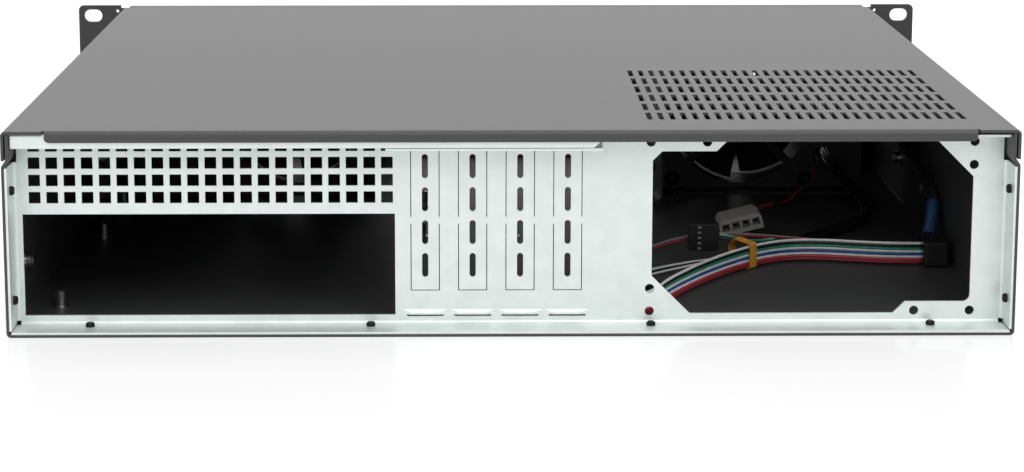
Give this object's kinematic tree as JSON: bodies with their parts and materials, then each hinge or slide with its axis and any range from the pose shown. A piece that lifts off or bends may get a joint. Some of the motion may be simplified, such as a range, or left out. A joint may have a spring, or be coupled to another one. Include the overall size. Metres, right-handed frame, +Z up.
{
  "type": "rackmount server case",
  "caption": "Low rackmount server case, empty: dark folded-steel cover and tray, zinc-plated rear panel with board, card and supply openings, rack ears and loose front leads.",
  "frame": {"origin": "bottom centre of the whole case, at the middle of its width and of its length with the handles", "axes": "+Y toward the rear panel, +Z up, X across the rack; the power supply bay is at -X"},
  "size_m": [0.4826, 0.427, 0.0889],
  "materials": {
    "tray_black": "fine textured powder coat, near black",
    "cover_grey": "fine textured powder coat, dark grey",
    "panel_black": "fine textured powder coat, near black",
    "inner_black": "matt black paint",
    "zinc": "zinc-coated sheet, satin, faint spangle",
    "black_steel": "black zinc, satin",
    "bright_steel": "bright zinc plate",
    "handle_metal": "satin anodised",
    "fan_black": "moulded, matt",
    "circuit_board": "green solder mask",
    "switch_plastic": "moulded, matt",
    "button_plastic": "moulded, satin gloss",
    "light_plastic": "clear moulded lens",
    "port_metal": "bright nickel plate",
    "nylon": "natural nylon",
    "black_wire": "soft extruded sleeve",
    "red_wire": "soft extruded sleeve",
    "white_wire": "soft extruded sleeve",
    "plug_black": "moulded, matt",
    "blue_tape": "wound tape",
    "orange_tie": "paper-covered wire"
  },
  "bodies": {
    "case": {"base_tray": "tray_black", "top_cover": "cover_grey", "rear_panel": "zinc", "card_ledge": "zinc", "rear_panel_rivets": "black_steel", "cover_screws": "black_steel", "front_panel": "panel_black", "front_panel_screws": "black_steel", "handle_left": "handle_metal", "handle_right": "handle_metal", "handle_screws": "bright_steel", "frame_rivets": "black_steel", "board_standoffs": "bright_steel", "rail_inserts": "bright_steel", "front_cross_rail": "inner_black", "drive_cage": "inner_black", "fan_partition_left": "inner_black", "fan_partition_right": "inner_black", "fan_left_frame": "fan_black", "fan_right_frame": "fan_black", "fan_screws": "black_steel", "control_board": "circuit_board", "board_spacers": "bright_steel", "board_screws": "bright_steel", "button_switches": "switch_plastic", "indicator_lights": "light_plastic", "usb_ports": "port_metal", "lead_sockets": "nylon", "panel_harness": "black_wire", "black_lead": "black_wire", "usb_lead": "black_wire", "switch_lead": "red_wire", "white_lead": "white_wire", "fan_lead": "black_wire", "ribbon_lead": "white_wire", "ribbon_plug": "plug_black", "black_plug": "plug_black", "switch_plug": "plug_black", "white_plug": "plug_black", "header_plug": "plug_black", "power_plug": "nylon", "harness_clip": "plug_black", "blue_wrap": "blue_tape", "twist_tie": "orange_tie"},
    "left_rotor": {"fan_left_rotor": "fan_black"},
    "right_rotor": {"fan_right_rotor": "fan_black"},
    "power_cap": {"power_button": "button_plastic"},
    "reset_cap": {"reset_button": "button_plastic"}
  },
  "joints": [
    {"name": "left_fan_spin", "type": "hinge", "parent": "case", "child": "left_rotor", "pos_m": [0.1115, -0.088, 0.0432], "axis": [0, 1, 0], "continuous": true},
    {"name": "right_fan_spin", "type": "hinge", "parent": "case", "child": "right_rotor", "pos_m": [-0.1295, -0.088, 0.0432], "axis": [0, 1, 0], "continuous": true},
    {"name": "power_press", "type": "slide", "parent": "case", "child": "power_cap", "axis": [0, 1, 0], "range_m": [0, 0.0015], "stiffness_N_per_m": 400, "springref_m": -0.001},
    {"name": "reset_press", "type": "slide", "parent": "case", "child": "reset_cap", "axis": [0, 1, 0], "range_m": [0, 0.0015], "stiffness_N_per_m": 400, "springref_m": -0.001}
  ]
}
